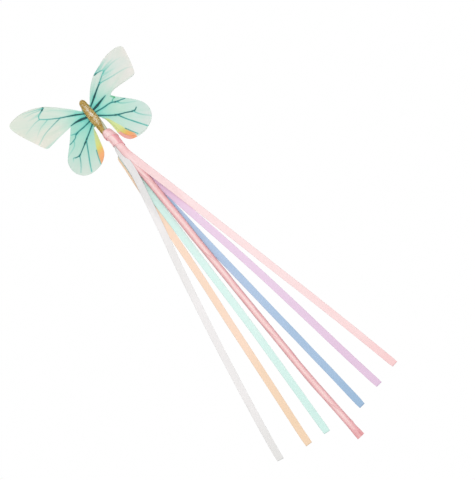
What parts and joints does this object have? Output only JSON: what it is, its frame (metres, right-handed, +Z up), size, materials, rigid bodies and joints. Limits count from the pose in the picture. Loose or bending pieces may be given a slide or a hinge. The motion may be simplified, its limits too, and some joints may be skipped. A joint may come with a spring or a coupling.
{
  "type": "butterfly ribbon wand",
  "caption": "Child's ribbon wand: satin-wrapped stick with a butterfly tied on top and satin ribbons trailing from the tie.",
  "frame": {"origin": "centre of the stick's foot end, on the stick's axis", "axes": "+Y from the foot of the stick towards the butterfly, +Z up out of the table with the wand lying face up, +X to the right"},
  "size_m": [0.1269, 0.3768, 0.0105],
  "materials": {
    "wood": "matte",
    "satin_pink": "satin",
    "satin_lilac": "satin",
    "satin_blue": "satin",
    "satin_mint": "satin",
    "satin_peach": "satin",
    "satin_white": "satin",
    "gold_glitter": "gloss",
    "hot_melt": "gloss",
    "wing_sheet": "satin"
  },
  "bodies": {
    "wand": {"dowel": "wood", "stick_wrap": "satin_pink", "neck_binding": "satin_pink", "neck_glue": "hot_melt", "butterfly_body": "gold_glitter", "body_glue": "hot_melt", "centre_upper": "wing_sheet", "centre_under": "wing_sheet"},
    "left_wing": {"left_wing_upper": "wing_sheet", "left_wing_under": "wing_sheet"},
    "right_wing": {"right_wing_upper": "wing_sheet", "right_wing_under": "wing_sheet"},
    "pink_ribbon": {"ribbon_pink": "satin_pink"},
    "lilac_ribbon": {"ribbon_lilac": "satin_lilac"},
    "blue_ribbon": {"ribbon_blue": "satin_blue"},
    "mint_ribbon": {"ribbon_mint": "satin_mint"},
    "peach_ribbon": {"ribbon_peach": "satin_peach"},
    "white_ribbon": {"ribbon_white": "satin_white"}
  },
  "joints": [
    {"name": "pink_swing", "type": "hinge", "parent": "wand", "child": "pink_ribbon", "pos_m": [0.0006, 0.2986, 0], "axis": [0, 0, 1], "range_deg": [-2, 55]},
    {"name": "lilac_swing", "type": "hinge", "parent": "wand", "child": "lilac_ribbon", "pos_m": [0.0006, 0.2986, 0], "axis": [0, 0, 1], "range_deg": [-18, 45]},
    {"name": "blue_swing", "type": "hinge", "parent": "wand", "child": "blue_ribbon", "pos_m": [0.0006, 0.2986, 0], "axis": [0, 0, 1], "range_deg": [-30, 35]},
    {"name": "mint_swing", "type": "hinge", "parent": "wand", "child": "mint_ribbon", "pos_m": [0.0006, 0.2986, 0], "axis": [0, 0, 1], "range_deg": [-35, 30]},
    {"name": "peach_swing", "type": "hinge", "parent": "wand", "child": "peach_ribbon", "pos_m": [0.0006, 0.2986, 0], "axis": [0, 0, 1], "range_deg": [-45, 26]},
    {"name": "white_swing", "type": "hinge", "parent": "wand", "child": "white_ribbon", "pos_m": [0.0006, 0.2986, 0], "axis": [0, 0, 1], "range_deg": [-35, 2]},
    {"name": "left_wing_fold", "type": "hinge", "parent": "wand", "child": "left_wing", "pos_m": [-0.00576, 0.33926, -0.00295], "axis": [0.075, 0.9972, 0], "range_deg": [-5, 70], "stiffness_Nm_per_rad": 0.0006},
    {"name": "right_wing_fold", "type": "hinge", "parent": "wand", "child": "right_wing", "pos_m": [0.00386, 0.33863, -0.00295], "axis": [-0.0732, 0.9973, 0], "range_deg": [-70, 5], "stiffness_Nm_per_rad": 0.0006}
  ]
}
